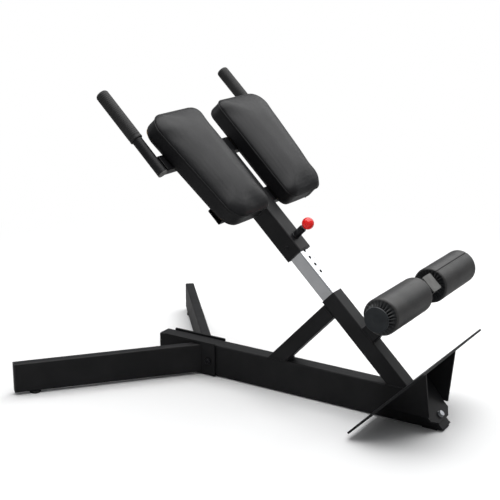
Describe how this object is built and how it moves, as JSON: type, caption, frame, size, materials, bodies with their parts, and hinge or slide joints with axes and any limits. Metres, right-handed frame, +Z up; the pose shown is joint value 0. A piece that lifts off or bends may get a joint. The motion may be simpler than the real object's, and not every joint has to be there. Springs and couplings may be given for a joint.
{
  "type": "roman chair",
  "caption": "Roman chair for back extensions: splayed floor frame, leaning post, sliding padded carriage with handles, ankle rollers, foot plate.",
  "frame": {"origin": "on the floor, under the middle of the whole machine in length and width", "axes": "+X runs along the floor beam from the splayed legs towards the foot plate, +Y to the right of a user who lies on the pads, +Z up"},
  "size_m": [1.198, 0.9338, 0.9015],
  "materials": {
    "black_powder_coat": "fine satin black powder coat",
    "black_plastic": "moulded black plastic",
    "black_rubber": "matte black rubber",
    "black_steel": "blackened steel",
    "chrome_plate": "bright chrome plate",
    "zinc_steel": "zinc-plated steel",
    "grey_plastic": "moulded grey plastic",
    "plywood": "plain plywood",
    "black_vinyl": "black upholstery vinyl with a soft sheen",
    "red_plastic": "glossy red plastic"
  },
  "bodies": {
    "base": {"floor_beam": "black_powder_coat", "beam_front_cap": "black_plastic", "beam_end_plate": "black_powder_coat", "rear_foot": "black_rubber", "leg_tube_left": "black_powder_coat", "leg_tube_right": "black_powder_coat", "leg_flange_left": "black_powder_coat", "leg_flange_right": "black_powder_coat", "leg_end_cap_left": "black_plastic", "leg_end_cap_right": "black_plastic", "leg_foot_left": "black_rubber", "leg_foot_right": "black_rubber", "flange_bolt_front": "black_steel", "flange_bolt_rear": "black_steel", "flange_nut_front": "black_steel", "flange_nut_rear": "black_steel", "post_tube": "black_powder_coat", "strut_tube": "black_powder_coat", "slide_tube": "chrome_plate", "foot_plate": "black_powder_coat", "foot_bracket_base": "black_powder_coat", "foot_bracket_wing_left": "black_powder_coat", "foot_bracket_wing_right": "black_powder_coat", "foot_bracket_bolt": "zinc_steel", "foot_bracket_washer": "zinc_steel", "roller_arm": "black_powder_coat", "roller_arm_cap": "grey_plastic", "roller_axle": "zinc_steel"},
    "carriage": {"sleeve_tube": "black_powder_coat", "sleeve_bush_lower": "black_plastic", "sleeve_bush_upper": "black_plastic", "sleeve_screw": "black_steel", "upper_crossbar": "black_powder_coat", "lower_crossbar_left": "black_powder_coat", "lower_crossbar_right": "black_powder_coat", "handle_tube_left": "black_powder_coat", "handle_tube_right": "black_powder_coat", "handle_plug_left": "grey_plastic", "handle_plug_right": "grey_plastic", "handle_grip_left": "black_rubber", "handle_grip_right": "black_rubber", "pad_board_left": "plywood", "pad_board_right": "plywood", "thigh_pad_left": "black_vinyl", "thigh_pad_right": "black_vinyl", "pad_bolt_upper_left": "zinc_steel", "pad_bolt_upper_right": "zinc_steel", "pad_bolt_lower_left": "zinc_steel", "pad_bolt_lower_right": "zinc_steel", "pin_housing": "black_steel", "pin_spring": "zinc_steel"},
    "pull_pin": {"pull_pin": "zinc_steel", "pull_ball": "red_plastic"},
    "roller_left": {"roller_core_left": "black_plastic", "roller_pad_left": "black_vinyl", "roller_end_cap_left": "black_plastic"},
    "roller_right": {"roller_core_right": "black_plastic", "roller_pad_right": "black_vinyl", "roller_end_cap_right": "black_plastic"}
  },
  "joints": [
    {"name": "carriage_slide", "type": "slide", "parent": "base", "child": "carriage", "axis": [-0.7158, 0, 0.6983], "range_m": [-0.125, 0.025]},
    {"name": "pin_pull", "type": "slide", "parent": "carriage", "child": "pull_pin", "axis": [0.6983, 0, 0.7158], "range_m": [0, 0.012], "stiffness_N_per_m": 900, "springref_m": -0.012, "deforming": ["pin_spring"]},
    {"name": "roller_left_spin", "type": "hinge", "parent": "base", "child": "roller_left", "pos_m": [0.49907, -0.157, 0.38834], "axis": [0, 1, 0], "continuous": true},
    {"name": "roller_right_spin", "type": "hinge", "parent": "base", "child": "roller_right", "pos_m": [0.49907, 0.157, 0.38834], "axis": [0, 1, 0], "continuous": true}
  ]
}
